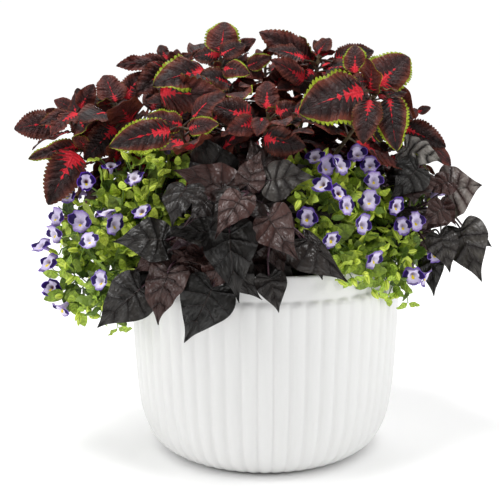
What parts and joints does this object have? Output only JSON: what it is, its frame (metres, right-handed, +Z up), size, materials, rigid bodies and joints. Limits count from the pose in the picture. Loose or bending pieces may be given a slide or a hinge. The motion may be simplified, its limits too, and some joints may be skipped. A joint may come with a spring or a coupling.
{
  "type": "potted sweet potato vine",
  "caption": "Ribbed round planter of dark sweet potato vine with coleus and wishbone flowers, rooted in soil, standing on a flat foot.",
  "frame": {"origin": "centre of the pot's flat underside, on the surface it stands on", "axes": "+Z up, -Y towards the front of the planter, +X to its right seen from the front"},
  "size_m": [0.6185, 0.47, 0.5487],
  "materials": {
    "pot": "white satin glaze-like plastic, moulded in fine upright ribs under a plain band",
    "soil": "dark crumbly potting soil with bark and pale grit",
    "coleus_leaf": "soft dark burgundy leaf with a red feathered middle and a lime edge",
    "vine_leaf": "satin near-black purple leaf with fine pale veins",
    "torenia_leaf": "soft bright green leaf, stem and ribbed calyx",
    "torenia_flower": "lilac petal with dark violet lobes and a yellow spot in the throat"
  },
  "bodies": {
    "root": {"coleus_01": "coleus_leaf", "coleus_02": "coleus_leaf", "coleus_03": "coleus_leaf", "coleus_04": "coleus_leaf", "coleus_05": "coleus_leaf", "coleus_06": "coleus_leaf", "coleus_07": "coleus_leaf", "coleus_08": "coleus_leaf", "coleus_09": "coleus_leaf", "coleus_10": "coleus_leaf", "coleus_11": "coleus_leaf", "coleus_12": "coleus_leaf", "coleus_13": "coleus_leaf", "coleus_14": "coleus_leaf", "coleus_15": "coleus_leaf", "coleus_16": "coleus_leaf", "pot": "pot", "soil": "soil", "torenia_01": "torenia_leaf", "torenia_02": "torenia_leaf", "torenia_03": "torenia_leaf", "torenia_04": "torenia_leaf", "torenia_05": "torenia_leaf", "torenia_06": "torenia_leaf", "torenia_07": "torenia_leaf", "torenia_08": "torenia_leaf", "torenia_09": "torenia_leaf", "torenia_10": "torenia_leaf", "torenia_11": "torenia_leaf", "torenia_12": "torenia_leaf", "torenia_13": "torenia_leaf", "torenia_14": "torenia_leaf", "torenia_15": "torenia_leaf", "torenia_16": "torenia_leaf", "torenia_17": "torenia_leaf", "torenia_18": "torenia_leaf", "torenia_19": "torenia_leaf", "torenia_20": "torenia_leaf", "torenia_21": "torenia_leaf", "torenia_22": "torenia_leaf", "torenia_23": "torenia_leaf", "torenia_24": "torenia_leaf", "torenia_25": "torenia_leaf", "torenia_26": "torenia_leaf", "vine_01": "vine_leaf", "vine_02": "vine_leaf", "vine_03": "vine_leaf", "vine_04": "vine_leaf", "vine_05": "vine_leaf", "vine_06": "vine_leaf", "vine_07": "vine_leaf", "vine_08": "vine_leaf", "vine_09": "vine_leaf", "vine_10": "vine_leaf", "vine_11": "vine_leaf", "vine_12": "vine_leaf"}
  },
  "joints": []
}
